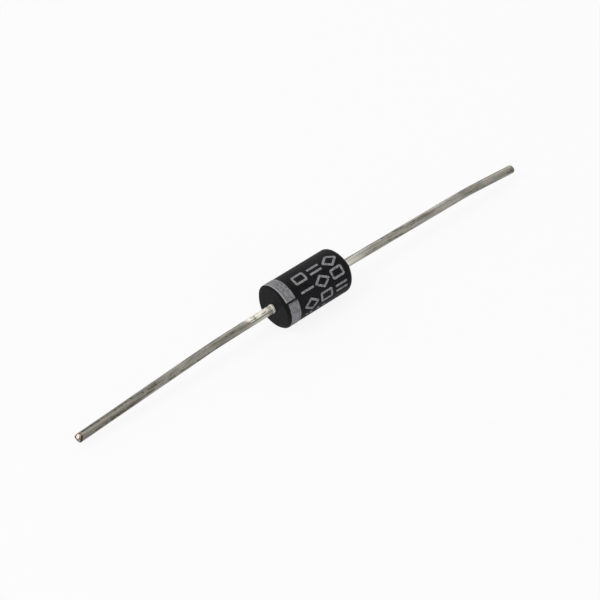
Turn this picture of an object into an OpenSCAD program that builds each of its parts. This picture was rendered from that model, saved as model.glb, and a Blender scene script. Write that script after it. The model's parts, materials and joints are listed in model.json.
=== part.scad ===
// Axial rectifier diode: a moulded epoxy barrel with one tinned wire lead out of each end.
//
// Frame: the origin is the middle of the barrel, on the lead axis. +X runs from the cathode
// (banded end) to the anode, and +Z is up as the diode lies on its barrel. All sizes are in
// millimetres and all angles in degrees.

/* [Moulded body] */
// Diameter of the barrel
body_d = 5.2; // [4.6:0.1:5.8]
// Length of the barrel, measured along its parting line
body_l = 9.4; // [8.4:0.1:11]
// Slope of each half of an end face, away from the parting line
end_draft = 5; // [2:0.5:6]
// Radius of the rim at the cathode end
cathode_rim_r = 0.3; // [0.25:0.05:0.5]
// Radius of the rim at the anode end
anode_rim_r = 0.5; // [0.3:0.05:0.8]
// Turn of the parting plane about the lead axis, from level
parting_turn = 43; // [0:1:90]
// Height of the moulding flash above the parting line
flash_h = 0.03; // [0.01:0.01:0.06]
// Thickness of the moulding flash
flash_t = 0.08; // [0.04:0.02:0.14]

/* [Leads] */
// Diameter of the lead wire
lead_d = 0.98; // [0.8:0.02:1.2]
// Length of the cathode lead outside the barrel, along the wire
cathode_lead_l = 26.2; // [20:0.2:32]
// Length of the anode lead outside the barrel, along the wire
anode_lead_l = 26.6; // [24:0.2:32]
// Angle that the cathode lead turns down where it leaves the barrel
cathode_root_angle = 0.9; // [0.5:0.1:5]
// Angle that the anode lead turns down where it leaves the barrel
anode_root_angle = 1.3; // [0.5:0.1:5]
// Distance along the cathode lead to the middle of its second bend
cathode_bend_at = 8; // [5:0.5:20]
// Distance along the anode lead to the middle of its second bend
anode_bend_at = 19.5; // [5:0.5:22]
// Angle that the cathode lead turns down in its second bend
cathode_free_angle = 3.5; // [0.5:0.1:6]
// Angle that the anode lead turns down in its second bend
anode_free_angle = 4.4; // [0.5:0.1:6]
// Centreline radius of the bends where the leads leave the barrel
root_bend_r = 4; // [2:0.5:8]
// Centreline radius of the second bends
free_bend_r = 40; // [10:1:80]
// Length by which a bend laps onto the straight run at each of its ends
bend_lap_l = 0.05; // [0.03:0.01:0.1]
// Swelling of the wire's radius in its bends
bend_swell = 0.005; // [0.004:0.001:0.02]
// Width of the bead of tin around each lead, at the barrel
bead_w = 0.3; // [0.15:0.05:0.5]
// Height of that bead above the wire
bead_h = 0.04; // [0.02:0.01:0.08]
// Bevel around the cut end of each lead
cut_bevel = 0.08; // [0.04:0.02:0.2]

/* [Inside the barrel] */
// Diameter of the nail head on each lead's inner end
head_d = 2.4; // [2.2:0.1:3]
// Thickness of the nail head at its rim
head_rim_t = 0.4; // [0.2:0.05:0.8]
// Length of the cone between the nail head's rim and the wire
head_cone_l = 0.4; // [0.2:0.05:1]
// Width across the flats of the square silicon die
die_w = 1.7; // [1.5:0.05:1.9]
// Thickness of the silicon die
die_t = 0.26; // [0.2:0.02:0.4]
// Diameter of the solder disc on each face of the die
solder_d = 1.5; // [1:0.05:1.5]
// Thickness of each solder disc
solder_t = 0.08; // [0.04:0.02:0.16]
// Diameter of the protective coating around the junction
coating_d = 3.2; // [3.2:0.1:3.8]
// Width of that coating along the lead axis
coating_w = 1; // [0.8:0.05:1.4]
// Radius of the coating's bulging outer side
coating_bulge_r = 0.9; // [0.8:0.05:2]

/* [Cathode band] */
// Width of the printed band
band_w = 1.3; // [0.8:0.05:2.5]
// Thickness of the band's ink
ink_t = 0.03; // [0.02:0.005:0.05]
// Width of the bare strip where the band meets the moulding flash
band_break_w = 0.18; // [0.16:0.01:0.4]
// Shift of the lower half of the band towards the middle of the barrel
band_shift = 0.14; // [0:0.01:0.3]

/* [Hidden] */
$fn = 72;

body_r = body_d / 2;
body_half_l = body_l / 2;
wire_r = lead_d / 2;
head_r = head_d / 2;
// Half the distance between the flat faces of the two nail heads
stack_half_t = die_t / 2 + solder_t;
// Straight run of wire between the barrel and the root bend, clear of the tin bead
root_run_l = 2 * bead_w;
// Angle at the lead axis that the bare strip in the band spans
band_break = 2 * asin(band_break_w / 2 / body_r);
// Room around a solid, so that a cutting shape runs clear past its faces
past = 1;

// Stands a shape that was made along +Z along +X.
module along_x() {
    rotate([0, 90, 0]) children();
}

// Turns a shape that was made about the level plane onto the parting plane.
module on_parting_plane() {
    rotate([-parting_turn, 0, 0]) children();
}

// ---- Moulded body ----

// The waste outside one rounded corner; the corner's centre is at the origin.
module corner_waste(corner_r) {
    difference() {
        square(corner_r + past);
        circle(corner_r);
    }
}

// The barrel as a turned shape with rounded rims, grown on every side.
module barrel(grow = 0) {
    barrel_r = body_r + grow;
    half_l = body_half_l + grow;
    along_x() rotate_extrude() difference() {
        translate([0, -half_l]) square([barrel_r, 2 * half_l]);
        translate([barrel_r - anode_rim_r, half_l - anode_rim_r]) corner_waste(anode_rim_r);
        translate([barrel_r - cathode_rim_r, cathode_rim_r - half_l])
            mirror([0, 1]) corner_waste(cathode_rim_r);
    }
}

// The block that gives each end face its two sloping halves, so that both mould halves draw off.
module drafted_block() {
    block_r = body_r + past;
    slope = block_r * tan(end_draft);
    rotate([90, 0, 0]) linear_extrude(height = 2 * block_r, center = true) polygon([
        [-body_half_l, 0], [slope - body_half_l, block_r], [body_half_l - slope, block_r],
        [body_half_l, 0], [body_half_l - slope, -block_r], [slope - body_half_l, -block_r]
    ]);
}

// The thin line of flash that the mould halves leave all round the parting plane.
module moulding_flash() {
    intersection() {
        barrel(flash_h);
        cube([body_l + 2 * past, body_d + 2 * past, flash_t], center = true);
    }
}

module moulded_body() {
    color([0.13, 0.13, 0.13]) difference() {
        on_parting_plane() union() {
            intersection() {
                barrel();
                drafted_block();
            }
            moulding_flash();
        }
        cathode_lead_form();
        anode_lead_form();
        coating_form();
    }
}

// ---- Leads ----

// A straight run of wire from the origin along +X.
module straight_wire(run_l) {
    along_x() cylinder(h = run_l, r = wire_r);
}

// A bend that leaves the origin along +X and turns down, with what follows it set on its end.
// The bend is a little thicker than the straight runs and laps onto both of them.
module downward_bend(angle, bend_r) {
    lap = bend_lap_l / bend_r * 180 / PI;
    translate([0, 0, -bend_r]) {
        rotate([90, 0, 0]) rotate_extrude(angle = angle + 2 * lap, start = 90 - angle - lap)
            translate([bend_r, 0]) circle(wire_r + bend_swell);
        rotate([0, angle, 0]) translate([0, 0, bend_r]) children();
    }
}

// The forged nail head: a flat disc that tapers into the wire.
module nail_head() {
    along_x() {
        cylinder(h = head_rim_t, r = head_r);
        translate([0, 0, head_rim_t]) cylinder(h = head_cone_l, r1 = head_r, r2 = wire_r);
    }
}

// The bead of tin that gathers around the wire at the barrel.
module tin_bead() {
    along_x() rotate_extrude() translate([wire_r + bead_h - bead_w / 2, 0]) circle(bead_w / 2);
}

// The free end of the wire, cropped with a small bevel.
module cropped_end() {
    along_x() cylinder(h = cut_bevel, r1 = wire_r, r2 = wire_r - cut_bevel);
}

// One whole lead that leaves the barrel along +X: nail head, root bend, second bend, cut end.
module lead_form(outside_l, root_angle, bend_at, free_angle) {
    root_arc_l = root_bend_r * root_angle * PI / 180;
    free_arc_l = free_bend_r * free_angle * PI / 180;
    near_run_l = bend_at - root_run_l - root_arc_l - free_arc_l / 2;
    free_run_l = outside_l - bend_at - free_arc_l / 2 - cut_bevel;
    translate([stack_half_t, 0, 0]) {
        nail_head();
        straight_wire(body_half_l + root_run_l - stack_half_t);
    }
    translate([body_half_l + bead_w / 2, 0, 0]) tin_bead();
    translate([body_half_l + root_run_l, 0, 0]) downward_bend(root_angle, root_bend_r) {
        straight_wire(near_run_l);
        translate([near_run_l, 0, 0]) downward_bend(free_angle, free_bend_r) {
            straight_wire(free_run_l);
            translate([free_run_l, 0, 0]) cropped_end();
        }
    }
}

module cathode_lead_form() {
    mirror([1, 0, 0])
        lead_form(cathode_lead_l, cathode_root_angle, cathode_bend_at, cathode_free_angle);
}

module anode_lead_form() {
    lead_form(anode_lead_l, anode_root_angle, anode_bend_at, anode_free_angle);
}

module cathode_lead() {
    color([0.66, 0.65, 0.61]) cathode_lead_form();
}

module anode_lead() {
    color([0.66, 0.65, 0.61]) anode_lead_form();
}

// ---- Rectifier junction between the nail heads ----

module silicon_die() {
    color([0.32, 0.33, 0.38]) cube([die_t, die_w, die_w], center = true);
}

// The solder disc on the anode face of the die.
module solder_disc() {
    translate([die_t / 2, 0, 0]) along_x() cylinder(h = solder_t, d = solder_d);
}

module cathode_solder() {
    color([0.6, 0.6, 0.63]) mirror([1, 0, 0]) solder_disc();
}

module anode_solder() {
    color([0.6, 0.6, 0.63]) solder_disc();
}

// The outer shape of the coating: a collar with a bulging side.
module coating_form() {
    along_x() rotate_extrude() intersection() {
        translate([0, -coating_w / 2]) square([coating_d / 2, coating_w]);
        union() {
            translate([coating_d / 2 - coating_bulge_r, 0]) circle(coating_bulge_r);
            translate([0, -coating_w / 2]) square([coating_d / 2 - coating_bulge_r, coating_w]);
        }
    }
}

// The coating seals the edge of the die and laps onto the rims of both nail heads.
module junction_coating() {
    color([0.86, 0.86, 0.82]) difference() {
        coating_form();
        cathode_lead_form();
        anode_lead_form();
        silicon_die();
        cathode_solder();
        anode_solder();
    }
}

// ---- Cathode band ----

// Half of the printed band, on the upper side of the parting plane.
module half_band() {
    translate([cathode_rim_r - body_half_l, 0, 0]) along_x()
        rotate_extrude(angle = 180 - band_break, start = 90 + band_break / 2)
            translate([body_r, 0]) square([ink_t, band_w]);
}

// The ink doesn't hold on the flash, so the band is two halves that stop short of it.
module cathode_band() {
    color([0.56, 0.55, 0.57]) on_parting_plane() {
        half_band();
        translate([band_shift, 0, 0]) mirror([0, 0, 1]) half_band();
    }
}

moulded_body();
cathode_lead();
anode_lead();
silicon_die();
cathode_solder();
anode_solder();
junction_coating();
cathode_band();
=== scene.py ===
"""Looks of an axial rectifier diode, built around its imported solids.

The frame is the part's own: the origin is the middle of the barrel, +X runs from the cathode to
the anode, and +Z is up. Class fields are in millimetres and degrees, and meshes are in metres.
"""

import json
import logging
import math
from dataclasses import dataclass, field
from enum import Enum
from typing import Iterable, Mapping, Optional, Sequence, Tuple, Union

import bpy
import numpy as np
from mathutils import Matrix, Vector

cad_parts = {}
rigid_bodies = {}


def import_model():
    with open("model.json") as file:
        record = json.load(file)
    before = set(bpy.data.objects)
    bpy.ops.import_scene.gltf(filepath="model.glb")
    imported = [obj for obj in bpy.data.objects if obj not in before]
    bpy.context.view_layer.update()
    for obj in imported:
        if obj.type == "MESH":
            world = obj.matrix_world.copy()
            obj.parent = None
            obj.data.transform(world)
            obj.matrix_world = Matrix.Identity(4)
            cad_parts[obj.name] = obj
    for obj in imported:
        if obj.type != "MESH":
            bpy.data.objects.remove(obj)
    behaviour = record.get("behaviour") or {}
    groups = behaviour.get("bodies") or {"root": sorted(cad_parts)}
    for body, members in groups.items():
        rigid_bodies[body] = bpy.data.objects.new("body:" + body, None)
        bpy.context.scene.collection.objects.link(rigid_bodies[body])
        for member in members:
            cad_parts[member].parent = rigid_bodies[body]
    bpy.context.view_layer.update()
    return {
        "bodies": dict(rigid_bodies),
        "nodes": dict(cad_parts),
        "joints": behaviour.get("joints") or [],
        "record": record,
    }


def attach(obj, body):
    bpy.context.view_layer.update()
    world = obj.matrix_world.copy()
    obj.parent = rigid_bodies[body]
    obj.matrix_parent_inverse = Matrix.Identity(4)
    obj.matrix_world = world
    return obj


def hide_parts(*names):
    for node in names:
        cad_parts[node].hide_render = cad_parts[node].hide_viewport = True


log = logging.getLogger("diode")

MM = 0.001
BODY = "root"
LEADS_APART = 20.0
WHITE = (1.0, 1.0, 1.0, 1.0)
Colour = Tuple[float, float, float]
Number = Union[int, float, "Field"]
Socket = bpy.types.NodeSocket


def stand(name: str, data: bpy.types.ID) -> bpy.types.Object:
    """Puts a mesh, a lamp or a camera into the scene.

    Args:
        name: The object's name.
        data: What it shows.

    Returns:
        The object.
    """
    made = bpy.data.objects.new(name, data)
    bpy.context.scene.collection.objects.link(made)
    return made


# ---- Node trees ----


def emptied(owner: Union[bpy.types.Material, bpy.types.World]) -> bpy.types.NodeTree:
    """Turns on the nodes of a material or a world and clears them.

    Args:
        owner: The material or the world.

    Returns:
        Its empty tree.
    """
    owner.use_nodes = True
    owner.node_tree.nodes.clear()
    return owner.node_tree


class Field:
    """A number in a node tree: Python's operators on it add Math nodes."""

    def __init__(self, bench: "Bench", socket: Socket) -> None:
        """Wraps an output socket.

        Args:
            bench: The tree's own bench.
            socket: The output that holds the number.
        """
        self.bench = bench
        self.socket = socket

    def __add__(self, other: Number) -> "Field":
        """Adds."""
        return self.bench.math("ADD", self, other)

    __radd__ = __add__

    def __sub__(self, other: Number) -> "Field":
        """Subtracts."""
        return self.bench.math("SUBTRACT", self, other)

    def __rsub__(self, other: Number) -> "Field":
        """Subtracts this from the other."""
        return self.bench.math("SUBTRACT", other, self)

    def __mul__(self, other: Number) -> "Field":
        """Multiplies."""
        return self.bench.math("MULTIPLY", self, other)

    __rmul__ = __mul__

    def __truediv__(self, other: Number) -> "Field":
        """Divides."""
        return self.bench.math("DIVIDE", self, other)

    def __neg__(self) -> "Field":
        """Turns the sign."""
        return self.bench.math("MULTIPLY", self, -1.0)

    def __abs__(self) -> "Field":
        """Drops the sign."""
        return self.bench.math("ABSOLUTE", self)

    def floor(self) -> "Field":
        """Rounds down."""
        return self.bench.math("FLOOR", self)

    def sin(self) -> "Field":
        """Sine of an angle in radians."""
        return self.bench.math("SINE", self)

    def cos(self) -> "Field":
        """Cosine of an angle in radians."""
        return self.bench.math("COSINE", self)

    def at_least(self, low: Number) -> "Field":
        """The larger of this and the other."""
        return self.bench.math("MAXIMUM", self, low)

    def at_most(self, high: Number) -> "Field":
        """The smaller of this and the other."""
        return self.bench.math("MINIMUM", self, high)

    def between(self, low: Number, high: Number) -> "Field":
        """Holds this between two limits."""
        return self.at_least(low).at_most(high)

    def ramp(self, start: float, end: float) -> "Field":
        """Goes smoothly from 0 at the start to 1 at the end.

        Args:
            start: Where the result is 0.
            end: Where the result is 1. It may be less than the start.

        Returns:
            The eased share.
        """
        share = ((self - start) / (end - start)).between(0.0, 1.0)
        return share * share * (3.0 - 2.0 * share)


class Bench:
    """Adds nodes to one tree, for shapes and for finishes alike."""

    def __init__(self, tree: bpy.types.NodeTree) -> None:
        """Takes the tree that the nodes go into."""
        self.tree = tree

    def add(
        self,
        kind: str,
        settings: Optional[Mapping[str, object]] = None,
        inputs: Optional[Mapping[Union[str, int], object]] = None,
    ) -> bpy.types.Node:
        """Makes one node.

        Args:
            kind: The node's type.
            settings: Its own settings, which are set first.
            inputs: A value or a link for each socket, by name or by place.

        Returns:
            The node.
        """
        node = self.tree.nodes.new(kind)
        for name, value in (settings or {}).items():
            setattr(node, name, value)
        for key, value in (inputs or {}).items():
            socket = self._socket(node, key)
            if isinstance(value, Field):
                self.tree.links.new(value.socket, socket)
            elif isinstance(value, Socket):
                self.tree.links.new(value, socket)
            else:
                socket.default_value = value
        return node

    @staticmethod
    def _socket(node: bpy.types.Node, key: Union[str, int]) -> Socket:
        """Finds an input that is in use.

        Args:
            node: The node.
            key: The input's name or place.

        Returns:
            The input socket.
        """
        if isinstance(key, int):
            return node.inputs[key]
        return next(s for s in node.inputs if s.name == key and s.enabled)

    def math(self, operation: str, *values: Number) -> Field:
        """Adds one Math node.

        Args:
            operation: The node's operation.
            values: Its values or links, in order.

        Returns:
            The result.
        """
        node = self.add("ShaderNodeMath", {"operation": operation}, dict(enumerate(values)))
        return Field(self, node.outputs[0])

    def join(self, x: Number, y: Number, z: Number) -> Socket:
        """Makes a vector of three numbers."""
        return self.add("ShaderNodeCombineXYZ", inputs={0: x, 1: y, 2: z}).outputs[0]

    def split(self, vector: Socket) -> Tuple[Field, Field, Field]:
        """Takes a vector apart into its three numbers."""
        x, y, z = self.add("ShaderNodeSeparateXYZ", inputs={0: vector}).outputs
        return Field(self, x), Field(self, y), Field(self, z)

    def stretch(self, vector: Socket, by: Tuple[float, float, float]) -> Socket:
        """Scales a place by a number for each direction."""
        node = self.add("ShaderNodeVectorMath", {"operation": "MULTIPLY"}, {0: vector, 1: by})
        return node.outputs[0]

    def noise(self, where: Socket, scale: float, detail: float) -> Field:
        """Smooth random numbers around 0.5.

        Args:
            where: The place that the numbers depend on.
            scale: How many swells there are to a unit.
            detail: How many finer layers are added.

        Returns:
            The numbers.
        """
        node = self.add(
            "ShaderNodeTexNoise", inputs={"Vector": where, "Scale": scale, "Detail": detail}
        )
        return Field(self, node.outputs[0])


class ShapeTree(Bench):
    """A Geometry Nodes tree with named inputs that ends in one finished piece."""

    def __init__(self, name: str) -> None:
        """Starts an empty tree.

        Args:
            name: The tree's name.
        """
        super().__init__(bpy.data.node_groups.new(name, "GeometryNodeTree"))
        interface = self.tree.interface
        interface.new_socket("Geometry", in_out="INPUT", socket_type="NodeSocketGeometry")
        interface.new_socket("Geometry", in_out="OUTPUT", socket_type="NodeSocketGeometry")
        self.entry = self.tree.nodes.new("NodeGroupInput")
        self.result = self.tree.nodes.new("NodeGroupOutput")
        self.values = {}

    @property
    def carrier(self) -> Socket:
        """The mesh that carries the modifier."""
        return self.entry.outputs[0]

    def size(self, name: str, value: float) -> Field:
        """Adds a named input.

        Args:
            name: The input's name.
            value: What the modifier sets it to.

        Returns:
            The input's value in the tree.
        """
        item = self.tree.interface.new_socket(name, in_out="INPUT", socket_type="NodeSocketFloat")
        self.values[item.identifier] = float(value)
        socket = next(s for s in self.entry.outputs if s.identifier == item.identifier)
        return Field(self, socket)

    def lattice(self, rings: int, sides: int) -> Tuple[Socket, Field, Field]:
        """Makes a sheet of rings and sides, ready to be rolled up.

        Args:
            rings: How many rings there are.
            sides: How many sides a ring has.

        Returns:
            The sheet, each point's ring, and its share of the way round.
        """
        grid = self.add(
            "GeometryNodeMeshGrid", inputs={"Vertices X": rings, "Vertices Y": sides + 1}
        )
        index = Field(self, self.add("GeometryNodeInputIndex").outputs[0])
        ring = (index / float(sides + 1) + 0.25 / (sides + 1)).floor()
        turn = (index - ring * float(sides + 1)) / float(sides)
        return grid.outputs["Mesh"], ring, turn

    def named(self, name: str) -> Socket:
        """Reads a vector that the points hold."""
        kind = "GeometryNodeInputNamedAttribute"
        return self.add(kind, {"data_type": "FLOAT_VECTOR"}, {"Name": name}).outputs[0]

    def read(self, name: str, ring: Field) -> Tuple[Field, Field, Field]:
        """Reads a vector that the carrier holds for each ring.

        Args:
            name: The attribute's name.
            ring: Which ring to read.

        Returns:
            The vector's three numbers.
        """
        sample = self.add(
            "GeometryNodeSampleIndex",
            {"data_type": "FLOAT_VECTOR"},
            {"Geometry": self.carrier, "Value": self.named(name), "Index": ring},
        )
        return self.split(sample.outputs[0])

    def round_axis(self, along: Number, out: Field, angle: Field) -> Socket:
        """Gives a place round the barrel's axis.

        Args:
            along: The place along the axis.
            out: The distance from the axis.
            angle: The angle round it, from -Y towards +Z.

        Returns:
            The place.
        """
        return self.join(along, -(out * angle.cos()), out * angle.sin())

    def place(self, mesh: Socket, where: Socket) -> Socket:
        """Moves every point of a mesh to a new place.

        Args:
            mesh: The mesh.
            where: The new place.

        Returns:
            The moved mesh.
        """
        return self.add(
            "GeometryNodeSetPosition", inputs={"Geometry": mesh, "Position": where}
        ).outputs[0]

    def keep(self, mesh: Socket, name: str, vector: Socket) -> Socket:
        """Stores a vector on every point, for the finish to read.

        Args:
            mesh: The mesh.
            name: The name it is stored under.
            vector: The vector.

        Returns:
            The mesh that holds it.
        """
        return self.add(
            "GeometryNodeStoreNamedAttribute",
            {"data_type": "FLOAT_VECTOR", "domain": "POINT"},
            {"Geometry": mesh, "Name": name, "Value": vector},
        ).outputs[0]

    def gather(self, parts: Sequence[Socket]) -> Socket:
        """Joins several geometries.

        Args:
            parts: The geometries.

        Returns:
            All of them as one.
        """
        joined = self.add("GeometryNodeJoinGeometry")
        for part in parts:
            self.tree.links.new(part, joined.inputs[0])
        return joined.outputs[0]

    def weld(self, mesh: Socket) -> Socket:
        """Closes seams and poles.

        Args:
            mesh: The mesh.

        Returns:
            The closed mesh.
        """
        return self.add(
            "GeometryNodeMergeByDistance", inputs={"Geometry": mesh, "Distance": 1e-7}
        ).outputs[0]

    def cast(
        self,
        name: str,
        geometry: Socket,
        finish: bpy.types.Material,
        carrier: bpy.types.Mesh,
    ) -> bpy.types.Object:
        """Ends the tree and turns its result into a plain mesh.

        Args:
            name: The piece's name.
            geometry: The finished geometry.
            finish: The piece's material.
            carrier: The mesh that the modifier starts from.

        Returns:
            The piece, with no modifier left on it.
        """
        real = self.add("GeometryNodeRealizeInstances", inputs={0: geometry})
        dressed = self.add(
            "GeometryNodeSetMaterial", inputs={"Geometry": real.outputs[0], "Material": finish}
        )
        self.tree.links.new(dressed.outputs[0], self.result.inputs[0])
        piece = stand(name, carrier)
        modifier = piece.modifiers.new("shape", "NODES")
        modifier.node_group = self.tree
        for identifier, value in self.values.items():
            modifier[identifier] = value
        view = bpy.context.evaluated_depsgraph_get()
        mesh = bpy.data.meshes.new_from_object(
            piece.evaluated_get(view), preserve_all_data_layers=True, depsgraph=view
        )
        piece.modifiers.remove(modifier)
        piece.data = mesh
        mesh.name = name
        return piece


def carrier_mesh(name: str, vectors: Mapping[str, Sequence[Sequence[float]]]) -> bpy.types.Mesh:
    """Makes a mesh of loose points that holds vectors for a tree to read.

    Args:
        name: The mesh's name.
        vectors: The vectors of each attribute, one for each point.

    Returns:
        The mesh.
    """
    count = len(next(iter(vectors.values())))
    mesh = bpy.data.meshes.new(name)
    mesh.from_pydata([(0.0, 0.0, 0.0)] * count, [], [])
    for key, rows in vectors.items():
        layer = mesh.attributes.new(key, "FLOAT_VECTOR", "POINT")
        layer.data.foreach_set("vector", np.asarray(rows, np.float32).ravel())
    return mesh


def arc(
    centre: Tuple[float, float], radius: float, start: float, end: float, steps: int
) -> Iterable[Tuple[float, float, float]]:
    """Steps along a rounded corner.

    Args:
        centre: The corner's centre, along the axis and out from it.
        radius: The corner's radius.
        start: Where it starts, in degrees from straight out towards +X.
        end: Where it ends.
        steps: How many steps it takes.

    Returns:
        The place along the axis, the radius there and the facing of each step.
    """
    for step in range(steps + 1):
        facing = math.radians(start + (end - start) * step / steps)
        yield (
            centre[0] + radius * math.sin(facing),
            centre[1] + radius * math.cos(facing),
            facing,
        )


# ---- Finishes ----


class Coat(Bench):
    """A new material with its own surface shader."""

    def __init__(self, name: str, **constants: object) -> None:
        """Starts a material.

        Args:
            name: The material's name.
            constants: The shader's constant sockets, by name with _ for a space.
        """
        self.material = bpy.data.materials.new(name)
        super().__init__(emptied(self.material))
        same = {key.replace("_", " "): value for key, value in constants.items()}
        self.shader = self.add("ShaderNodeBsdfPrincipled", inputs=same)
        self.add("ShaderNodeOutputMaterial", inputs={"Surface": self.shader.outputs[0]})
        self.here = self.add("ShaderNodeTexCoord").outputs["Object"]

    def stored(self, name: str) -> Socket:
        """Reads a vector that the piece holds on its points."""
        return self.add("ShaderNodeAttribute", {"attribute_name": name}).outputs["Vector"]

    def blend(
        self,
        share: Number,
        first: Union[Colour, Socket],
        second: Union[Colour, Socket],
    ) -> Socket:
        """Mixes two colours.

        Args:
            share: How much of the second colour there is.
            first: A colour.
            second: Another colour.

        Returns:
            The mixed colour.
        """
        colours = [(*c, 1.0) if isinstance(c, tuple) else c for c in (first, second)]
        node = self.add(
            "ShaderNodeMix",
            {"data_type": "RGBA"},
            {"Factor": share, "A": colours[0], "B": colours[1]},
        )
        return next(out for out in node.outputs if out.enabled)

    def feed(self, name: str, value: object) -> None:
        """Leads what varies to one of the shader's sockets."""
        source = value.socket if isinstance(value, Field) else value
        self.tree.links.new(source, self.shader.inputs[name])

    def relief(self, height: Field, depth: float, strength: float) -> None:
        """Bumps the surface.

        Args:
            height: The relief, from 0 to 1.
            depth: How deep it is, in millimetres.
            strength: How much of it shows.
        """
        node = self.add(
            "ShaderNodeBump", inputs={"Height": height, "Distance": depth * MM, "Strength": strength}
        )
        self.feed("Normal", node.outputs[0])


@dataclass(frozen=True)
class MouldedEpoxy:
    """Satin black moulding compound with a fine grain."""

    dark: Colour = (0.0022, 0.0022, 0.0025)
    light: Colour = (0.0085, 0.0084, 0.0086)

    def material(self) -> bpy.types.Material:
        """Makes the finish.

        Returns:
            The material.
        """
        coat = Coat("moulded_epoxy", IOR=1.5, Specular_IOR_Level=0.085)
        cloud = coat.noise(coat.here, 900.0, 3.0)
        grain = coat.noise(coat.here, 7000.0, 3.0)
        fine = coat.noise(coat.here, 26000.0, 1.0)
        tone = (cloud * 0.55 + grain * 0.45).ramp(0.34, 0.68)
        coat.feed("Base Color", coat.blend(tone, self.dark, self.light))
        coat.feed("Roughness", (0.42 + 0.2 * grain + 0.08 * cloud).between(0.0, 1.0))
        coat.relief(grain * 0.7 + fine * 0.3, 0.012, 0.55)
        return coat.material


class WirePlace:
    """Where a point lies on a lead, and the random marks there."""

    def __init__(self, coat: Coat) -> None:
        """Reads what the lead holds on its points.

        Args:
            coat: The wire's material.
        """
        drawn = coat.stored("drawn")
        self.from_barrel, self.from_tip, self.height = coat.split(coat.stored("zone"))
        _, self.side, end = coat.split(drawn)
        self.on_cathode = end.ramp(LEADS_APART / 4 * MM, -LEADS_APART / 4 * MM)
        self.streak = coat.noise(coat.stretch(drawn, (140.0, 3400.0, 3400.0)), 1.0, 3.0)
        self.patch = coat.noise(coat.stretch(drawn, (520.0, 1500.0, 1500.0)), 1.0, 2.0)
        self.nick = coat.noise(coat.stretch(drawn, (2600.0, 5200.0, 5200.0)), 1.0, 2.0)

    def spot(self, side: float, height: float, reach: float) -> Field:
        """Marks a round spot on the cut.

        Args:
            side: The spot's middle across the cut, in millimetres.
            height: The spot's middle up the cut, in millimetres.
            reach: The spot's radius, in millimetres.

        Returns:
            1 in the spot and 0 outside it.
        """
        across = (self.side - side * MM) / (reach * MM)
        up = (self.height - height * MM) / (reach * MM)
        return (across * across + up * up).ramp(1.0, 0.5)


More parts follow.
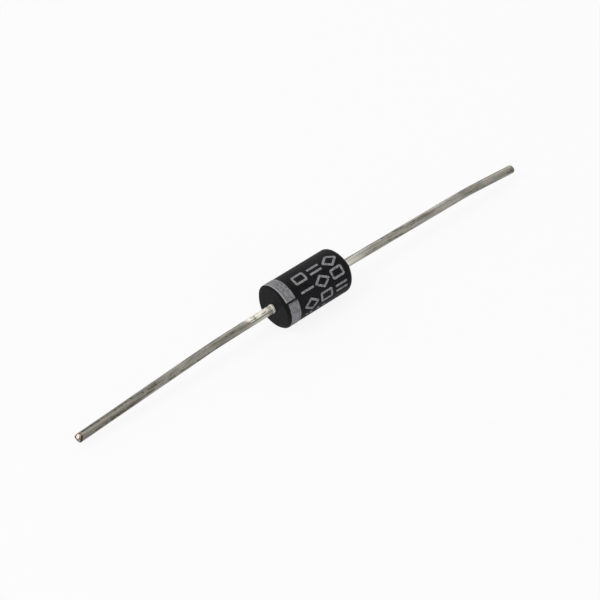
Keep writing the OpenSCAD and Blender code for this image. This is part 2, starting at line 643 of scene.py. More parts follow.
@dataclass(frozen=True)
class TinnedWire:
    """Tin over drawn copper: streaks along the wire, a pale root, bare metal at the cut, and painted
    highlights and shade by the barrel and at the cut.
    """

    bright: Colour = (0.30, 0.285, 0.255)
    dull: Colour = (0.15, 0.14, 0.118)
    # Real stains in the worn streaks, and painted dark reflection in the cathode lead's dark line
    # and streak.
    stain_and_dark_reflection: Colour = (0.06, 0.054, 0.04)
    # Painted highlight colour near the barrel, partly cleaner tin.
    root_sheen: Colour = (0.60, 0.585, 0.52)
    # Pale tin at the root, partly a painted highlight.
    root: Colour = (0.80, 0.78, 0.69)
    copper: Colour = (0.20, 0.135, 0.09)
    # Colour of the painted highlights on the cathode lead and on the cut faces.
    painted_highlight: Colour = (0.95, 0.90, 0.80)
    grey_smear: Colour = (0.34, 0.30, 0.30)
    # Painted shade on the lower half of the cut face.
    painted_low_shade: Colour = (0.045, 0.04, 0.022)
    # Painted shade: the dark crescent behind the cut, on its lower side.
    painted_crescent_shade: Colour = (0.022, 0.017, 0.015)
    # The upper side, along which the cathode lead's painted highlight and dark line run.
    upper_line: Tuple[float, float] = (0.61, 0.79)
    sheen_reach_by_barrel: float = 6.5
    cathode_sheen_reach: float = 3.9
    root_length: float = 1.0
    bare_length: float = 0.30
    crescent_reach: float = 0.34

    def tinned(self, coat: Coat, at: WirePlace) -> Socket:
        """Colours the tin, with a painted highlight near the barrel, where the tin is also cleaner.

        Args:
            coat: The material.
            at: The place on the wire.

        Returns:
            The colour.
        """
        tone = (at.streak * 0.6 + at.patch * 0.4).ramp(0.38, 0.60)
        tin = coat.blend(tone, self.dull, self.bright)
        worn = (at.streak * 0.5 + at.nick * 0.5).ramp(0.46, 0.37)
        tin = coat.blend(worn * 0.8, tin, self.stain_and_dark_reflection)
        # Painted highlight: the tin is lightened towards the barrel, partly cleaner tin there.
        sheen_share_by_barrel = (at.from_barrel + at.patch * 3.0 * MM).ramp(self.sheen_reach_by_barrel * MM, 1.6 * MM)
        return coat.blend(sheen_share_by_barrel * 0.85 * at.streak.ramp(0.32, 0.52), tin, self.root_sheen)

    def painted_sheen_and_streaks(self, coat: Coat, at: WirePlace, tin: Socket) -> Tuple[Socket, Field]:
        """Paints a highlight along the cathode lead's upper side by the barrel, a dark line under it
        and a long dark streak along it.

        Args:
            coat: The material.
            at: The place on the wire.
            tin: The colour so far.

        Returns:
            The colour, and how much painted highlight there is.
        """
        rise, aside = self.upper_line
        upper = at.height * rise - at.side * aside
        ragged = at.from_barrel + (at.patch - 0.5) * 1.6 * MM
        root_sheen = ragged.ramp(self.cathode_sheen_reach * MM, (self.cathode_sheen_reach - 0.8) * MM)
        # Painted highlight along the upper side near the barrel, on the cathode lead.
        painted_shine = root_sheen * upper.ramp(-0.10 * MM, 0.0) * at.on_cathode
        # Painted dark reflection: a dark line just under the painted highlight.
        line = root_sheen * upper.ramp(-0.06 * MM, -0.12 * MM) * upper.ramp(-0.27 * MM, -0.21 * MM)
        # A long dark streak along the cathode lead: partly a drawing mark, partly painted dark
        # reflection.
        off_dark_streak = abs(upper + 0.13 * MM + (at.patch - 0.5) * 0.1 * MM)
        painted_dark_streak = off_dark_streak.ramp(0.20 * MM, 0.05 * MM) * (1.0 - root_sheen)
        tin = coat.blend(painted_dark_streak * at.on_cathode * 0.5, tin, self.stain_and_dark_reflection)
        tin = coat.blend(painted_shine * at.nick.ramp(0.36, 0.5) * 0.9, tin, self.painted_highlight)
        return coat.blend(line * at.on_cathode * 0.75, tin, self.stain_and_dark_reflection), painted_shine

    def cropped(self, coat: Coat, at: WirePlace, tin: Socket) -> Tuple[Socket, Field]:
        """Bares the copper at the cut with a pale smear, and paints a highlight and shade on the cut
        face and a dark crescent behind it.

        Args:
            coat: The material.
            at: The place on the wire.
            tin: The colour so far.

        Returns:
            The colour, and how much painted highlight the cut has.
        """
        from_cut = at.from_tip + (at.nick - 0.5) * 0.08 * MM
        bare = from_cut.ramp(self.bare_length * MM, (self.bare_length - 0.08) * MM)
        tin = coat.blend(bare * 0.9, tin, self.copper)
        # Painted shade: a dark crescent on the lower side just behind the cut, on the cathode lead.
        crescent_share = from_cut.ramp(self.crescent_reach * MM, (self.crescent_reach - 0.08) * MM)
        crescent_share = crescent_share * (at.side - at.height).ramp(-0.22 * MM, -0.1 * MM)
        tin = coat.blend(crescent_share * at.on_cathode * 0.92, tin, self.painted_crescent_shade)
        face = from_cut.ramp(0.07 * MM, 0.03 * MM)
        tin = coat.blend(face, tin, self.copper)
        # Painted shade on the lower half of the cut face.
        low = face * at.height.ramp(0.14 * MM, 0.02 * MM)
        tin = coat.blend(low * 0.95, tin, self.painted_low_shade)
        tin = coat.blend(face * at.spot(0.30, 0.0, 0.17), tin, self.grey_smear)
        # Painted highlight on the upper part of the cut face.
        glint = face * at.spot(-0.05, 0.24, 0.24)
        return coat.blend(glint, tin, self.painted_highlight), glint

    def material(self) -> bpy.types.Material:
        """Makes the finish.

        Returns:
            The material.
        """
        coat = Coat("tinned_wire")
        at = WirePlace(coat)
        tin, painted_shine = self.painted_sheen_and_streaks(coat, at, self.tinned(coat, at))
        # Pale tin at the root, partly a painted highlight there.
        pale = (at.from_barrel + at.nick * 0.5 * MM).ramp(self.root_length * MM, 0.3 * MM)
        tin, glint = self.cropped(coat, at, coat.blend(pale * 0.75, tin, self.root))
        coat.feed("Base Color", tin)
        # The painted highlights and the pale root are made less metallic.
        coat.feed("Metallic", (1.0 - pale * 0.4 - painted_shine * 0.45 - glint * 0.6).between(0.0, 1.0))
        rough = 0.44 - at.streak * 0.24 + at.nick * 0.12 + pale * 0.1
        coat.feed("Roughness", rough.between(0.0, 1.0))
        coat.relief(at.streak * 0.6 + at.nick * 0.4, 0.014, 0.6)
        return coat.material


@dataclass(frozen=True)
class PrintedInk:
    """Silver-grey printing ink, mottled and worn in specks."""

    name: str
    full: Colour
    thin: Colour
    bare: Colour = (0.008, 0.008, 0.009)
    wear: float = 0.36

    def placed(self, coat: Coat, ink: Socket, speck: Field) -> Tuple[Socket, Number]:
        """Changes the ink by its place in the print, which plain ink doesn't.

        Args:
            coat: The material.
            ink: The ink's colour.
            speck: Fine specks.

        Returns:
            The colour, and how much of the ink has rubbed off there.
        """
        return ink, 0.0

    def material(self) -> bpy.types.Material:
        """Makes the finish.

        Returns:
            The material.
        """
        coat = Coat(self.name, IOR=1.45, Specular_IOR_Level=0.2)
        mottle = coat.noise(coat.here, 3600.0, 3.0)
        speck = coat.noise(coat.here, 11000.0, 2.0)
        drag = coat.noise(coat.stretch(coat.here, (9000.0, 1300.0, 1300.0)), 1.0, 2.0)
        cover = (mottle * 0.5 + drag * 0.5).ramp(0.36, 0.62)
        ink, rubbed = self.placed(coat, coat.blend(cover, self.thin, self.full), speck)
        worn = (speck * 0.6 + mottle * 0.4).ramp(self.wear, self.wear - 0.07)
        gone = (worn + rubbed).between(0.0, 1.0)
        coat.feed("Base Color", coat.blend(gone, ink, self.bare))
        coat.feed("Roughness", (0.52 + 0.2 * speck).between(0.0, 1.0))
        coat.relief(speck * 0.5 + mottle * 0.5, 0.012, 0.6)
        return coat.material


@dataclass(frozen=True)
class BandInk(PrintedInk):
    """The band's ink: thicker and pale along the rim with a painted highlight on its upper half,
    rubbed where it meets the flash.
    """

    thick_ink_and_highlight: Colour = (0.42, 0.42, 0.43)

    def placed(self, coat: Coat, ink: Socket, speck: Field) -> Tuple[Socket, Number]:
        """Changes the ink by its place in the band.

        Args:
            coat: The material.
            ink: The ink's colour.
            speck: Fine specks.

        Returns:
            The colour, and how much of the ink has rubbed off there.
        """
        across, round_it, side = coat.split(coat.stored("print"))
        upper = side.between(0.0, 1.0)
        # Painted highlight along the rim, on the upper half only; partly thicker ink there.
        ridge = across.ramp(0.16, 0.04) * upper
        near_flash = abs(round_it - 0.5).ramp(0.46, 0.5)
        rubbed = near_flash * (1.0 - upper) * speck.ramp(0.56, 0.44)
        return coat.blend(ridge * 0.8, ink, self.thick_ink_and_highlight), rubbed


@dataclass(frozen=True)
class InnerFinish:
    """A plain finish for a piece inside the barrel, with its own mottling."""

    name: str
    dark: Colour
    light: Colour
    metallic: float
    roughness: float
    scale: float = 2500.0

    def material(self) -> bpy.types.Material:
        """Makes the finish.

        Returns:
            The material.
        """
        coat = Coat(self.name, Metallic=self.metallic)
        mottle = coat.noise(coat.here, self.scale, 3.0)
        coat.feed("Base Color", coat.blend(mottle.ramp(0.35, 0.65), self.dark, self.light))
        coat.feed("Roughness", (self.roughness + (mottle - 0.5) * 0.3).between(0.0, 1.0))
        coat.relief(mottle, 0.01, 0.5)
        return coat.material


# ---- Pieces ----


@dataclass
class Junction:
    """The stack between the two nail heads, and the room that it takes up."""

    half_stack: float = 0.21
    head_r: float = 1.2
    head_rim: float = 0.4
    head_cone: float = 0.4
    coating_r: float = 1.6
    coating_width: float = 1.0
    coating_bulge: float = 0.9

    def finishes(self) -> Mapping[str, InnerFinish]:
        """Gives each inner solid its finish.

        Returns:
            The finishes, by the solids' names.
        """
        solder = InnerFinish("soft_solder", (0.40, 0.40, 0.42), (0.62, 0.62, 0.65), 1.0, 0.42)
        return {
            "silicon_die": InnerFinish(
                "metallised_silicon", (0.20, 0.21, 0.26), (0.36, 0.37, 0.43), 1.0, 0.3, 6000.0
            ),
            "cathode_solder": solder,
            "anode_solder": solder,
            "junction_coating": InnerFinish(
                "silicone_coating", (0.72, 0.72, 0.67), (0.90, 0.90, 0.86), 0.0, 0.5, 1200.0
            ),
        }

    def dress(self, nodes: Mapping[str, bpy.types.Object]) -> None:
        """Puts the finishes on the carried-over solids.

        Args:
            nodes: The solids of the frame, by name.
        """
        made = {}
        for name, finish in self.finishes().items():
            if finish.name not in made:
                made[finish.name] = finish.material()
            solid = nodes[name]
            if not solid.material_slots:
                solid.data.materials.append(made[finish.name])
            for slot in solid.material_slots:
                slot.material = made[finish.name]
            log.info("%s: solid kept, finish %s", name, finish.name)


@dataclass
class Barrel:
    """The moulded body: a turned shape with drafted ends, flash and the room inside it."""

    diameter: float = 5.2
    length: float = 9.4
    end_draft: float = 5.0
    cathode_rim: float = 0.3
    anode_rim: float = 0.5
    parting_turn: float = 43.0
    flash_height: float = 0.03
    flash_width: float = 0.08
    bore_r: float = 0.49
    rim_gap: float = 0.5
    sides: int = 320
    crowding: float = 0.85
    junction: Junction = field(default_factory=Junction)

    @property
    def radius(self) -> float:
        """Radius of the barrel."""
        return self.diameter / 2

    @property
    def half(self) -> float:
        """Half of the barrel's length."""
        return self.length / 2

    def skin_rows(self) -> Iterable[Tuple[float, float, float, float]]:
        """Lists the rings of the outer skin, from the cathode end's hole to the anode end's.

        Returns:
            The place, radius, facing in radians and end (-1, 0 or 1) of each ring.
        """
        face = math.radians(90.0)
        for r in np.linspace(self.bore_r, self.radius - self.cathode_rim, 9)[:-1]:
            yield -self.half, float(r), -face, -1.0
        corner = (self.cathode_rim - self.half, self.radius - self.cathode_rim)
        for x, r, facing in arc(corner, self.cathode_rim, -90.0, 0.0, 8):
            yield x, r, facing, -1.0
        plain_start = self.cathode_rim + self.rim_gap - self.half
        plain_end = self.half - self.anode_rim - self.rim_gap
        for x in np.linspace(plain_start, plain_end, 30):
            yield float(x), self.radius, 0.0, 0.0
        corner = (self.half - self.anode_rim, self.radius - self.anode_rim)
        for x, r, facing in arc(corner, self.anode_rim, 0.0, 90.0, 10):
            yield x, r, facing, 1.0
        for r in np.linspace(self.radius - self.anode_rim, self.bore_r, 9)[1:]:
            yield self.half, float(r), face, 1.0

    def room_rows(self) -> Iterable[Tuple[float, float]]:
        """Lists the rings of the room that the leads and the junction fill, back to the start.

        Returns:
            The place and radius of each ring.
        """
        inner = self.junction
        cone = inner.half_stack + inner.head_rim + inner.head_cone
        rim = inner.half_stack + inner.head_rim
        centre = inner.coating_r - inner.coating_bulge
        half = inner.coating_width / 2
        side = [(cone, self.bore_r), (rim, inner.head_r), (half, inner.head_r)]
        yield from side
        for x in np.linspace(half, -half, 9):
            yield float(x), centre + math.sqrt(inner.coating_bulge**2 - float(x) ** 2)
        yield from ((-x, r) for x, r in reversed(side))

    def build(self, finish: bpy.types.Material) -> bpy.types.Object:
        """Makes the body.

        Args:
            finish: The body's material.

        Returns:
            The piece.
        """
        skin = list(self.skin_rows())
        profile = [(x * MM, r * MM, end) for x, r, _, end in skin]
        facing = [(math.sin(a), math.cos(a), 1.0) for _, _, a, _ in skin]
        for x, r in self.room_rows():
            profile.append((x * MM, r * MM, 0.0))
            facing.append((0.0, 0.0, 0.0))
        profile.append(profile[0])
        facing.append(facing[0])

        tree = ShapeTree("turned_body")
        turned = tree.size("Parting turn", math.radians(self.parting_turn))
        slope = tree.size("End slope", math.tan(math.radians(self.end_draft)))
        flash = tree.size("Flash height", self.flash_height * MM)
        width = tree.size("Flash width", self.flash_width * MM)
        crowding = tree.size("Crowding of sides at the parting line", self.crowding)
        sheet, ring, turn = tree.lattice(len(profile), self.sides)
        x, r, end = tree.read("profile", ring)
        lean, rise, held = tree.read("facing", ring)
        even = turn * math.tau
        around = even - crowding * (even * 2.0).sin() / 2.0
        off = abs(r * around.sin())
        across = off / (width / 2.0)
        ridge = flash * held * (1.0 - across * across).at_least(0.0)
        out = r + rise * ridge
        along = x - end * off * slope + lean * ridge
        angle = around + turned
        where = tree.round_axis(along, out, angle)
        shape = tree.weld(tree.place(sheet, where))
        carrier = carrier_mesh("body_profile", {"profile": profile, "facing": facing})
        return tree.cast("barrel", shape, finish, carrier)


@dataclass
class Lead:
    """One wire lead: nail head, tin bead, two gentle bends and a cropped end."""

    name: str
    direction: float
    length: float
    root_angle: float
    bend_at: float
    free_angle: float
    cut_slope: float
    cut_turn: float
    lip: float
    barrel: Barrel
    diameter: float = 0.98
    root_run: float = 0.6
    root_radius: float = 4.0
    free_radius: float = 40.0
    bead_width: float = 0.3
    bead_height: float = 0.04
    bevel: float = 0.08
    waver: float = 0.012
    cut_reach: float = 1.1
    low_slope: float = 0.2
    tip_run: float = 0.5
    ring_step: float = 0.16
    waver_scale: Tuple[float, float, float] = (500.0, 1800.0, 1800.0)
    sides: int = 72

    @property
    def wire_r(self) -> float:
        """Radius of the wire."""
        return self.diameter / 2

    def rows(self) -> Iterable[Tuple[float, float]]:
        """Lists the rings, by distance from the barrel's end face, from the nail head outwards.

        Returns:
            The distance and radius of each ring.
        """
        inner = self.barrel.junction
        head = inner.half_stack - self.barrel.half
        cone_end = head + inner.head_rim + inner.head_cone
        yield head, 0.0
        yield head, inner.head_r / 2
        yield head, inner.head_r
        yield head + inner.head_rim, inner.head_r
        yield cone_end, self.wire_r
        for s in np.linspace(cone_end + 0.4, 0.0, 6):
            yield float(s), self.wire_r
        for share in np.linspace(0.0, 1.0, 13)[1:]:
            swell = math.sin(math.pi * float(share)) ** 2
            yield float(share) * self.bead_width, self.wire_r + self.bead_height * swell
        tip_start = self.length - self.tip_run
        run = np.arange(self.bead_width + self.ring_step / 2, tip_start, self.ring_step)
        tip = np.linspace(tip_start + self.ring_step / 4, self.length - self.bevel - 0.03, 10)
        for s in (*run, *tip):
            yield float(s), self.wire_r
        # The bevel, with both of its edges slightly rounded.
        yield self.length - self.bevel, self.wire_r - 0.004
        yield self.length - self.bevel / 2, self.wire_r - self.bevel / 2 + 0.006
        yield self.length - 0.012, self.wire_r - self.bevel + 0.008
        for share in np.linspace(1.0, 0.0, 8):
            yield self.length, (self.wire_r - self.bevel - 0.01) * float(share)

    def build(self, finish: bpy.types.Material) -> bpy.types.Object:
        """Makes the lead.

        Args:
            finish: The wire's material.

        Returns:
            The piece.
        """
        profile = [(s * MM, r * MM, 0.0) for s, r in self.rows()]
        tree = ShapeTree(self.name + "_form")
        direction = tree.size("Direction", self.direction)
        start = tree.size("Half length of the barrel", self.barrel.half * MM)
        length = tree.size("Length outside the barrel", self.length * MM)
        straight = tree.size("Straight root", self.root_run * MM)
        root_angle = tree.size("Root angle", math.radians(self.root_angle))
        root_r = tree.size("Root bend radius", self.root_radius * MM)
        bend_at = tree.size("Middle of the second bend", self.bend_at * MM)
        free_angle = tree.size("Second angle", math.radians(self.free_angle))
        free_r = tree.size("Second bend radius", self.free_radius * MM)
        slope = tree.size("Slope of the cut", self.cut_slope)
        cut_turn = tree.size("Turn of the cut", math.radians(self.cut_turn))
        lip = tree.size("Lip of the cut", self.lip * MM)
        waver = tree.size("Waver of the wire", self.waver * MM)

        sheet, ring, turn = tree.lattice(len(profile), self.sides)
        s, r, _ = tree.read("profile", ring)
        around = turn * math.tau * direction
        near_tip = (s - length).ramp(-self.cut_reach * MM, -0.05 * MM)
        raised = r * (around - cut_turn).sin()
        recess = raised.at_least(0.0) - self.low_slope * raised.at_most(0.0)
        cut = near_tip * (lip - slope * recess)
        height = r * around.sin()
        drawn = tree.join(s, r * around.cos(), height + direction * (LEADS_APART * MM))
        stretched = tree.stretch(drawn, self.waver_scale)
        outside = s.ramp(0.3 * MM, 1.0 * MM)
        swell = (tree.noise(stretched, 1.0, 2.0) - 0.5) * 2.0 * waver * outside
        body_r = r + swell * (r / (self.wire_r * MM)).at_most(1.0)

        root_arc = root_r * root_angle
        free_arc = free_r * free_angle
        second = bend_at - free_arc / 2.0
        first_turn = ((s - straight) / root_arc).between(0.0, 1.0) * root_angle
        second_turn = ((s - second) / free_arc).between(0.0, 1.0) * free_angle
        middle = (s - straight - root_arc).between(0.0, second - straight - root_arc)
        free = (s - second - free_arc).at_least(0.0) + cut
        both = root_angle + free_angle
        bend = root_angle + second_turn
        along = (
            start
            + s.at_most(straight)
            + root_r * first_turn.sin()
            + middle * root_angle.cos()
            + free_r * (bend.sin() - root_angle.sin())
            + free * both.cos()
        )
        drop = (
            root_r * (1.0 - first_turn.cos())
            + middle * root_angle.sin()
            + free_r * (root_angle.cos() - bend.cos())
            + free * both.sin()
        )
        heading = first_turn + second_turn
        up = body_r * around.sin()
        where = tree.join(
            direction * (along + up * heading.sin()),
            -(body_r * around.cos()),
            up * heading.cos() - drop,
        )
        shape = tree.keep(sheet, "drawn", drawn)
        shape = tree.keep(shape, "zone", tree.join(s, length - s, height))
        shape = tree.weld(tree.place(shape, where))
        carrier = carrier_mesh(self.name + "_profile", {"profile": profile})
        return tree.cast(self.name, shape, finish, carrier)


@dataclass
class CathodeBand:
    """The printed band: two halves that stop short of the flash, the lower one out of line."""

    barrel: Barrel
    width: float = 1.3
    ink: float = 0.03
    bare_strip: float = 0.18
    shift: float = 0.14
    ragged: float = 0.02
    fray: float = 0.16
    middle_ink: float = 0.92
    edge_loss: float = 0.45
    sunk: float = 0.01

    def half_band(self, tree: ShapeTree, side: float, sizes: Mapping[str, Field]) -> Socket:
        """Wraps one half of the band.

        Args:
            tree: The band's tree.
            side: 1 for the half above the parting plane, -1 for the one below.
            sizes: The tree's inputs, by a short name.

        Returns:
            The half's mesh.
        """
        block = tree.add(
            "GeometryNodeMeshCube",
            inputs={"Size": (1.0, 1.0, 1.0), "Vertices X": 15, "Vertices Y": 150, "Vertices Z": 2},
        )
        spot = tree.add("GeometryNodeInputPosition").outputs[0]
        across, round_it, layer = tree.split(spot)
        span = math.pi - sizes["bare"] / sizes["radius"]
        around = side * math.pi / 2 + round_it * span
        angle = around + sizes["turn"]
        seed = tree.join(across * 3.0, round_it * 60.0, side * 5.0)
        frayed = (tree.noise(seed, 1.0, 3.0) - 0.5) * 2.0 * sizes["ragged"]
        edge = (abs(across) - 0.5 + self.fray).at_least(0.0) / self.fray
        along = (
            sizes["start"]
            + (across + 0.5) * sizes["width"]
            + (sizes["shift"] if side < 0 else 0.0)
            + frayed * edge
        )
        top = sizes["ink"] * (self.middle_ink - self.edge_loss * edge * edge)
        sunk = self.sunk * MM
        out = sizes["radius"] + (layer + 0.5) * (top + sunk) - sunk
        where = tree.round_axis(along, out, angle)
        kept = tree.keep(
            block.outputs["Mesh"], "print", tree.join(across + 0.5, round_it + 0.5, side)
        )
        return tree.place(kept, where)

    def build(self, finish: bpy.types.Material) -> bpy.types.Object:
        """Makes the band.

        Args:
            finish: The ink's material.

        Returns:
            The piece.
        """
        tree = ShapeTree("wrapped_band")
        barrel = self.barrel
        sizes = {
            "radius": tree.size("Barrel radius", barrel.radius * MM),
            "turn": tree.size("Parting turn", math.radians(barrel.parting_turn)),
            "start": tree.size("Band start", (barrel.cathode_rim - barrel.half) * MM),
            "width": tree.size("Band width", self.width * MM),
            "bare": tree.size("Bare strip", self.bare_strip * MM),
            "shift": tree.size("Shift of the lower half", self.shift * MM),
            "ink": tree.size("Ink thickness", self.ink * MM),
            "ragged": tree.size("Ragged edge", self.ragged * MM),
        }
        halves = [self.half_band(tree, side, sizes) for side in (1.0, -1.0)]
        carrier = carrier_mesh("band_start", {"spot": [(0.0, 0.0, 0.0)]})
        return tree.cast("band", tree.gather(halves), finish, carrier)


class Stroke(Enum):
    """The plain shapes of the printed marks."""

    BAR = 0
    PAIR = 1
    LOZENGE = 2
    PANE = 3
    SPECK = 4


@dataclass
class PrintedMarks:
    """Three columns of plain marks round the barrel, wrapped onto it."""

    barrel: Barrel
    stroke: float = 0.26
    height: float = 0.014
    bar_length: float = 1.75
    pair_length: float = 1.6
    pair_gap: float = 0.64
    lozenge_size: Tuple[float, float] = (1.75, 1.25)
    pane_size: Tuple[float, float] = (1.4, 0.95)
    pane_corner: float = 0.1
    speck_length: float = 0.3
    curve_step: float = 0.05
    columns: Tuple[float, ...] = (-1.36, 0.75, 2.86)
    rows: Tuple[float, ...] = (37.5, 3.0, -34.0)
    kinds: Tuple[Tuple[Stroke, ...], ...] = (
        (Stroke.PANE, Stroke.BAR, Stroke.LOZENGE),
        (Stroke.PAIR, Stroke.LOZENGE, Stroke.PANE),
        (Stroke.LOZENGE, Stroke.PANE, Stroke.PAIR),
    )
    specks: Tuple[Tuple[float, float], ...] = (
        (-2.1, -59.0),
        (-1.5, -60.5),
        (-0.5, -60.0),
        (0.3, -61.0),
    )

    def places(self) -> Sequence[Tuple[float, float, float]]:
        """Lists the marks.

        Returns:
            The place along the barrel and round it, in metres, and the shape's number.
        """
        marks = [
            (x, angle, kind)
            for x, kinds in zip(self.columns, self.kinds)
            for angle, kind in zip(self.rows, kinds)
        ]
        marks += [(x, angle, Stroke.SPECK) for x, angle in self.specks]
        reach = self.barrel.radius * MM
        return [(x * MM, math.radians(turn) * reach, float(kind.value)) for x, turn, kind in marks]

    @staticmethod
    def line(tree: ShapeTree, length: float, y: float = 0.0) -> Socket:
        """Draws a straight line along the barrel.

        Args:
            tree: The marks' tree.
            length: The line's length.
            y: How far round the barrel it lies.

        Returns:
            The curve.
        """
        ends = [(side * length / 2 * MM, y * MM, 0.0) for side in (-1, 1)]
        return tree.add(
            "GeometryNodeCurvePrimitiveLine", inputs={"Start": ends[0], "End": ends[1]}
        ).outputs[0]

    @staticmethod
    def lozenge(tree: ShapeTree, length: float, width: float) -> Socket:
        """Draws an open lozenge.

        Args:
            tree: The marks' tree.
            length: Its length along the barrel.
            width: Its width round the barrel.

        Returns:
            The closed curve.
        """
        square = tree.add(
            "GeometryNodeCurvePrimitiveCircle",
            {"mode": "RADIUS"},
            {"Resolution": 4, "Radius": MM / 2},
        ).outputs[0]
        return tree.add(
            "GeometryNodeTransform", inputs={"Geometry": square, "Scale": (length, width, 1.0)}
        ).outputs[0]

    @staticmethod
    def pane(tree: ShapeTree, length: float, width: float, corner: float) -> Socket:
        """Draws an open rectangle with round corners.

        Args:
            tree: The marks' tree.
            length: Its length along the barrel.
            width: Its width round the barrel.
            corner: The radius of its corners.

        Returns:
            The closed curve.
        """
        frame = tree.add(
            "GeometryNodeCurvePrimitiveQuadrilateral",
            {"mode": "RECTANGLE"},
            {"Width": length * MM, "Height": width * MM},
        ).outputs[0]
        return tree.add(
            "GeometryNodeFilletCurve",
            {"mode": "POLY"},
            {"Curve": frame, "Count": 5, "Radius": corner * MM},
        ).outputs[0]

    def middle_line(self, tree: ShapeTree, kind: Stroke) -> Socket:
        """Draws the middle line of one kind of mark.

        Args:
            tree: The marks' tree.
            kind: The mark's shape.

        Returns:
            The curve.
        """
        if kind is Stroke.BAR:
            return self.line(tree, self.bar_length)
        if kind is Stroke.PAIR:
            lines = [self.line(tree, self.pair_length, y * self.pair_gap) for y in (-0.5, 0.5)]
            return tree.gather(lines)
        if kind is Stroke.LOZENGE:
            return self.lozenge(tree, *self.lozenge_size)
        if kind is Stroke.PANE:
            return self.pane(tree, *self.pane_size, self.pane_corner)
        return self.line(tree, self.speck_length)

    def build(self, finish: bpy.types.Material) -> bpy.types.Object:
        """Makes the marks.

        Args:
            finish: The ink's material.

        Returns:
            The piece.
        """
        tree = ShapeTree("wrapped_marks")
        width = tree.size("Stroke width", self.stroke)
        height = tree.size("Ink height", self.height)
        radius = tree.size("Barrel radius", self.barrel.radius * MM)
        turned = tree.size("Parting turn", math.radians(self.barrel.parting_turn))
        x, y, kind = tree.split(tree.named("spot"))
        points = tree.place(tree.carrier, tree.join(x, y, 0.0))
        rows = []
        for stroke in Stroke:
            apart = abs(kind - float(stroke.value))
            rows.append(
                tree.add(
                    "GeometryNodeInstanceOnPoints",
                    inputs={
                        "Points": points,
                        "Selection": (1.0 - apart).at_least(0.0).floor(),
                        "Instance": self.middle_line(tree, stroke),
                    },
                ).outputs[0]
            )
        lines = tree.add("GeometryNodeRealizeInstances", inputs={0: tree.gather(rows)})
        fine = tree.add(
            "GeometryNodeResampleCurve",
            {"mode": "LENGTH"},
            {"Curve": lines.outputs[0], "Length": self.curve_step * MM},
        )
        level = tree.add("GeometryNodeSetCurveNormal", {"mode": "Z_UP"}, {"Curve": fine.outputs[0]})
        ring = tree.add(
            "GeometryNodeCurvePrimitiveCircle",
            {"mode": "RADIUS"},
            {"Resolution": 12, "Radius": MM / 2},
        )
        nib = tree.add(
            "GeometryNodeTransform",
            inputs={"Geometry": ring.outputs[0], "Scale": tree.join(width, height * 2.0, 1.0)},
        )
        ink = tree.add(
            "GeometryNodeCurveToMesh",
            inputs={"Curve": level.outputs[0], "Profile Curve": nib.outputs[0], "Fill Caps": True},
        ).outputs[0]
        along, round_it, up = tree.split(tree.add("GeometryNodeInputPosition").outputs[0])
        angle = round_it / radius + turned
        out = radius + up
        where = tree.round_axis(along, out, angle)
        carrier = carrier_mesh("marks_start", {"spot": self.places()})
        return tree.cast("marks", tree.place(ink, where), finish, carrier)


# ---- Studio ----


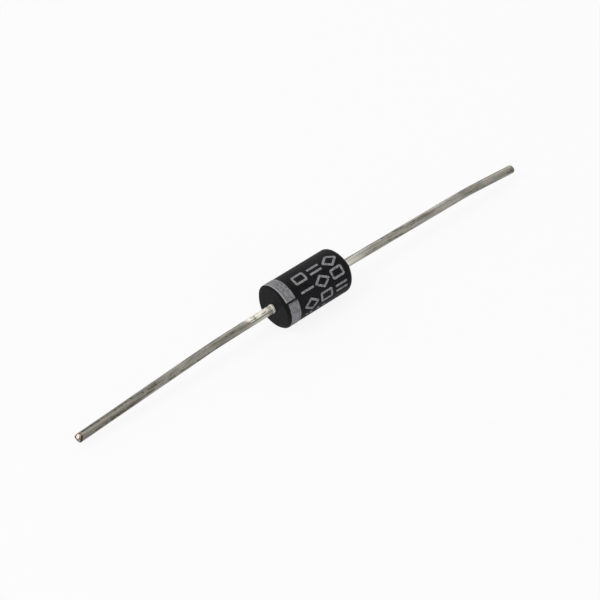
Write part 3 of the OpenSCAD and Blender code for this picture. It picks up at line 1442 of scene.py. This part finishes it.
@dataclass
class Studio:
    """The pale floor, the soft lamps and the camera."""

    azimuth: float = -41.55
    elevation: float = 44.05
    distance: float = 256.6
    aim_right: float = -0.6245
    aim_up: float = -1.2815
    lens: float = 144.0
    floor_level: float = -2.631
    floor_size: float = 1500.0
    paper: float = 0.86
    kept_shadow: float = 0.12
    surround: float = 0.55
    lamps: Tuple[Tuple[str, Tuple[float, float, float], float, float], ...] = (
        ("key", (-260.0, 60.0, 330.0), 220.0, 0.62),
        ("front", (60.0, -400.0, 100.0), 260.0, 0.24),
        ("back", (280.0, 260.0, 180.0), 200.0, 0.18),
    )

    def camera(self) -> None:
        """Stands the camera where the diode is seen from its cathode end, above and in front."""
        a, e = math.radians(self.azimuth), math.radians(self.elevation)
        back = Vector((math.sin(a) * math.cos(e), -math.cos(a) * math.cos(e), math.sin(e)))
        right = Vector((math.cos(a), math.sin(a), 0.0))
        up = back.cross(right)
        data = bpy.data.cameras.new("camera")
        data.lens = self.lens
        data.sensor_width = 36.0
        data.clip_start = 0.01
        data.clip_end = 20.0
        camera = stand("camera", data)
        turn = Matrix((right, up, back)).transposed()
        place = (back * self.distance + right * self.aim_right + up * self.aim_up) * MM
        camera.matrix_world = Matrix.Translation(place) @ turn.to_4x4()
        bpy.context.scene.camera = camera

    @staticmethod
    def seen(bench: Bench) -> Field:
        """Tells the rays that show the background: the camera's own and reflections.

        Args:
            bench: The bench of the material's or the world's tree.

        Returns:
            1 for such a ray and 0 for others.
        """
        path = bench.add("ShaderNodeLightPath")
        rays = ("Is Camera Ray", "Is Glossy Ray", "Is Transmission Ray")
        first, second, third = (Field(bench, path.outputs[name]) for name in rays)
        return first.at_least(second).at_least(third)

    def floor(self) -> bpy.types.Object:
        """Lays the pale floor, which keeps some of the shadow.

        Returns:
            The floor.
        """
        half, level = self.floor_size / 2 * MM, self.floor_level * MM
        turns = ((-1, -1), (1, -1), (1, 1), (-1, 1))
        corners = [(x * half, y * half, level) for x, y in turns]
        mesh = bpy.data.meshes.new("floor")
        mesh.from_pydata(corners, [], [(0, 1, 2, 3)])
        material = bpy.data.materials.new("pale_floor")
        bench = Bench(emptied(material))
        grey = (self.paper, self.paper, self.paper, 1.0)
        paper = bench.add("ShaderNodeBsdfDiffuse", inputs={"Color": grey})
        white = bench.add("ShaderNodeEmission", inputs={"Color": WHITE, "Strength": 1.0})
        share = self.seen(bench) * (1.0 - self.kept_shadow)
        mixed = bench.add(
            "ShaderNodeMixShader", inputs={0: share, 1: paper.outputs[0], 2: white.outputs[0]}
        )
        bench.add("ShaderNodeOutputMaterial", inputs={"Surface": mixed.outputs[0]})
        mesh.materials.append(material)
        return stand("floor", mesh)

    def world(self) -> None:
        """Fills the surroundings with soft light, seen as white."""
        world = bpy.data.worlds.new("surround")
        bench = Bench(emptied(world))
        light = bench.add("ShaderNodeBackground", inputs={"Strength": self.surround})
        white = bench.add("ShaderNodeBackground", inputs={"Strength": 1.0})
        for node in (light, white):
            node.inputs["Color"].default_value = WHITE
        mixed = bench.add(
            "ShaderNodeMixShader",
            inputs={0: self.seen(bench), 1: light.outputs[0], 2: white.outputs[0]},
        )
        bench.add("ShaderNodeOutputWorld", inputs={"Surface": mixed.outputs[0]})
        bpy.context.scene.world = world

    @staticmethod
    def lamp(name: str, place: Tuple[float, float, float], size: float, power: float) -> None:
        """Hangs one soft lamp that faces the diode.

        Args:
            name: The lamp's name.
            place: Its place, in millimetres.
            size: The side of its square face, in millimetres.
            power: Its power, in watts.
        """
        data = bpy.data.lights.new(name, "AREA")
        data.size = size * MM
        data.energy = power
        lamp = stand(name, data)
        lamp.location = Vector(place) * MM
        lamp.rotation_mode = "QUATERNION"
        lamp.rotation_quaternion = (-Vector(place)).to_track_quat("-Z", "Y")

    def build(self) -> bpy.types.Object:
        """Sets up the camera, lamps, surroundings and floor.

        Returns:
            The floor.
        """
        self.camera()
        self.world()
        for name, place, size, power in self.lamps:
            self.lamp(name, place, size, power)
        return self.floor()


# ---- The whole diode ----


@dataclass
class Diode:
    """The diode's visible pieces, and how each stands in for the solids."""

    barrel: Barrel = field(default_factory=Barrel)

    def leads(self) -> Tuple[Lead, Lead]:
        """Gives the two leads their sizes.

        Returns:
            The cathode lead and the anode lead.
        """
        cathode = Lead(
            name="lead_cathode",
            direction=-1.0,
            length=26.2,
            root_angle=0.9,
            bend_at=8.0,
            free_angle=3.5,
            cut_slope=0.7,
            cut_turn=0.0,
            lip=0.14,
            barrel=self.barrel,
        )
        anode = Lead(
            name="lead_anode",
            direction=1.0,
            length=26.6,
            root_angle=1.3,
            bend_at=19.5,
            free_angle=4.4,
            cut_slope=0.15,
            cut_turn=30.0,
            lip=0.0,
            barrel=self.barrel,
        )
        return cathode, anode

    @staticmethod
    def settle(
        piece: bpy.types.Object, slot: str, replaced: Sequence[str] = (), crease: float = 35.0
    ) -> None:
        """Finishes a piece's shading and ties it to the frame.

        Args:
            piece: The piece.
            slot: The name of a material slot, which is only logged.
            replaced: The solids it stands for.
            crease: The angle above which an edge stays sharp.
        """
        piece.data.shade_smooth()
        piece.data.set_sharp_from_angle(angle=math.radians(crease))
        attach(piece, BODY)
        if replaced:
            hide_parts(*replaced)
        log.info("%s: %d faces, slot %s", piece.name, len(piece.data.polygons), slot)

    def build(self, nodes: Mapping[str, bpy.types.Object]) -> None:
        """Makes every piece of the diode.

        Args:
            nodes: The solids of the frame, by name.
        """
        self.settle(self.barrel.build(MouldedEpoxy().material()), "epoxy", ["moulded_body"])
        wire = TinnedWire().material()
        for lead, node in zip(self.leads(), ("cathode_lead", "anode_lead")):
            self.settle(lead.build(wire), "tinned_wire", [node])
        band_ink = BandInk("band_ink", (0.28, 0.277, 0.288), (0.13, 0.128, 0.134), wear=0.36)
        band = CathodeBand(self.barrel).build(band_ink.material())
        self.settle(band, "band_ink", ["cathode_band"])
        mark_ink = PrintedInk("mark_ink", (0.31, 0.31, 0.33), (0.16, 0.16, 0.17), wear=0.37)
        self.settle(PrintedMarks(self.barrel).build(mark_ink.material()), "band_ink")
        self.barrel.junction.dress(nodes)


def main() -> None:
    """Loads the frame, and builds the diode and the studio."""
    logging.basicConfig(level=logging.INFO, format="%(name)s: %(message)s")
    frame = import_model()
    Diode().build(frame["nodes"])
    Studio().build()
    bpy.context.scene.view_settings.view_transform = "Standard"


if __name__ == "__main__":
    main()
